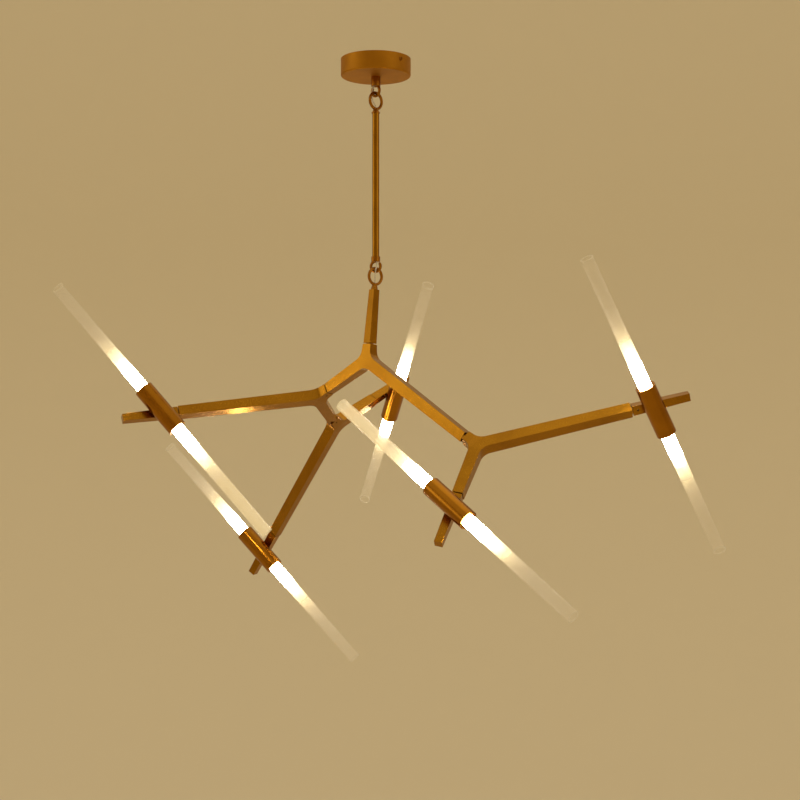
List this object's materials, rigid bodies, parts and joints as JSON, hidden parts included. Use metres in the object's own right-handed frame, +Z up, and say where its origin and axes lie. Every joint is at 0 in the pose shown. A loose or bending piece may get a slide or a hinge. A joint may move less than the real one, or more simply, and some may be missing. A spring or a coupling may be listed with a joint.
{
  "type": "branching led pendant light",
  "caption": "Ceiling pendant: a hooked rod carries forked arms that swivel on each other, with slim frosted glass tube lamps that swivel and tilt.",
  "frame": {"origin": "centre of the ceiling cup's open rim, on the ceiling", "axes": "+Z up towards the ceiling, +X to the right and +Y away from the viewer in the reference view"},
  "size_m": [1.1159, 0.8535, 1.0583],
  "materials": {
    "gold_arms": "satin",
    "gold_steel": "satin",
    "brass": "satin",
    "dark_steel": "satin",
    "white_plastic": "matte",
    "lamp": "satin",
    "glass": "satin",
    "cord": "gloss"
  },
  "bodies": {
    "ceiling": {"canopy": "gold_steel", "mounting_bracket": "dark_steel", "canopy_screws": "dark_steel", "led_driver": "white_plastic", "terminal_block": "white_plastic", "canopy_hook": "gold_steel", "hook_washer": "dark_steel", "hook_nut": "dark_steel", "cord_top": "cord"},
    "rod": {"rod_eye": "gold_steel", "drop_rod": "gold_steel", "rod_hook": "gold_steel", "cord_rod": "cord"},
    "stem": {"stem_eye": "gold_steel", "stem_bar": "gold_arms", "stem_nipple": "brass", "cord_low": "cord"},
    "top_branch_body": {"top_branch": "gold_arms", "top_nipples": "brass", "top_grub": "dark_steel"},
    "right_branch_body": {"right_branch": "gold_arms", "right_nipples": "brass", "right_grub": "dark_steel"},
    "left_branch_body": {"left_branch": "gold_arms", "left_nipples": "brass", "left_grub": "dark_steel"},
    "low_branch_body": {"low_branch": "gold_arms", "low_nipples": "brass", "low_grub": "dark_steel"},
    "right_arm": {"right_bar": "gold_arms", "right_bar_grub": "dark_steel"},
    "right_head": {"right_tube": "gold_arms", "right_lamps": "lamp", "right_glass": "glass", "right_pivot": "brass"},
    "front_arm": {"front_bar": "gold_arms", "front_bar_grub": "dark_steel"},
    "front_head": {"front_tube": "gold_arms", "front_lamps": "lamp", "front_glass": "glass", "front_pivot": "brass"},
    "left_arm": {"left_bar": "gold_arms", "left_bar_grub": "dark_steel"},
    "left_head": {"left_tube": "gold_arms", "left_lamps": "lamp", "left_glass": "glass", "left_pivot": "brass"},
    "low_arm": {"low_bar": "gold_arms", "low_bar_grub": "dark_steel"},
    "low_head": {"low_tube": "gold_arms", "low_lamps": "lamp", "low_glass": "glass", "low_pivot": "brass"},
    "back_arm": {"back_bar": "gold_arms", "back_bar_grub": "dark_steel"},
    "back_head": {"back_tube": "gold_arms", "back_lamps": "lamp", "back_glass": "glass", "back_pivot": "brass"}
  },
  "joints": [
    {"name": "rod_swing", "type": "hinge", "parent": "ceiling", "child": "rod", "pos_m": [0, 0, -0.0633], "axis": [0.7071, -0.7071, 0], "range_deg": [-20, 20], "deforming": ["cord_top"]},
    {"name": "stem_swing", "type": "hinge", "parent": "rod", "child": "stem", "pos_m": [0, 0, -0.36525], "axis": [-0.9272, 0.3746, 0], "range_deg": [-20, 20], "deforming": ["cord_low"]},
    {"name": "top_swivel", "type": "hinge", "parent": "stem", "child": "top_branch_body", "pos_m": [-0.00972, -0.00661, -0.49035], "axis": [-0.0774, -0.0526, -0.9956], "range_deg": [-150, 150]},
    {"name": "right_swivel", "type": "hinge", "parent": "top_branch_body", "child": "right_branch_body", "pos_m": [0.14731, -0.15274, -0.64931], "axis": [0.6317, -0.5741, -0.521], "range_deg": [-150, 150]},
    {"name": "left_swivel", "type": "hinge", "parent": "top_branch_body", "child": "left_branch_body", "pos_m": [-0.08264, 0.04397, -0.5654], "axis": [-0.7091, 0.5215, -0.4746], "range_deg": [-30, 110]},
    {"name": "low_swivel", "type": "hinge", "parent": "left_branch_body", "child": "low_branch_body", "pos_m": [-0.08189, 0.1493, -0.6145], "axis": [0.2051, 0.9102, -0.3598], "range_deg": [-150, 150]},
    {"name": "right_arm_swivel", "type": "hinge", "parent": "right_branch_body", "child": "right_arm", "pos_m": [0.4098, -0.17237, -0.60462], "axis": [0.9719, -0.0146, 0.2348], "range_deg": [-150, 150]},
    {"name": "front_arm_swivel", "type": "hinge", "parent": "right_branch_body", "child": "front_arm", "pos_m": [0.13091, -0.22454, -0.73922], "axis": [-0.3402, -0.5595, -0.7558], "range_deg": [-150, 150]},
    {"name": "left_arm_swivel", "type": "hinge", "parent": "left_branch_body", "child": "left_arm", "pos_m": [-0.33272, -0.0395, -0.60752], "axis": [-0.9142, -0.3887, -0.1148], "range_deg": [-150, 150]},
    {"name": "low_arm_swivel", "type": "hinge", "parent": "low_branch_body", "child": "low_arm", "pos_m": [-0.19477, 0.25832, -0.8305], "axis": [-0.4706, 0.3322, -0.8174], "range_deg": [-150, 150]},
    {"name": "back_arm_swivel", "type": "hinge", "parent": "low_branch_body", "child": "back_arm", "pos_m": [-0.00876, 0.23229, -0.57883], "axis": [0.6756, 0.578, 0.4576], "range_deg": [-150, 150]},
    {"name": "right_head_tilt", "type": "hinge", "parent": "right_arm", "child": "right_head", "pos_m": [0.44332, -0.19571, -0.60556], "axis": [0.071, -0.9334, -0.3518], "range_deg": [-53, 26]},
    {"name": "front_head_tilt", "type": "hinge", "parent": "front_arm", "child": "front_head", "pos_m": [0.11683, -0.26171, -0.74863], "axis": [-0.1206, -0.7711, 0.6252], "range_deg": [-8, 71]},
    {"name": "left_head_tilt", "type": "hinge", "parent": "left_arm", "child": "left_head", "pos_m": [-0.35502, -0.07311, -0.60103], "axis": [0.3104, -0.8536, 0.4184], "range_deg": [-67, 12]},
    {"name": "low_head_tilt", "type": "hinge", "parent": "low_arm", "child": "low_head", "pos_m": [-0.22151, 0.2476, -0.85947], "axis": [-0.4635, -0.8814, -0.0914], "range_deg": [-30, 49]},
    {"name": "back_head_tilt", "type": "hinge", "parent": "back_arm", "child": "back_head", "pos_m": [0.03096, 0.24182, -0.57805], "axis": [0.7198, -0.3828, -0.5791], "range_deg": [-34, 17]}
  ]
}
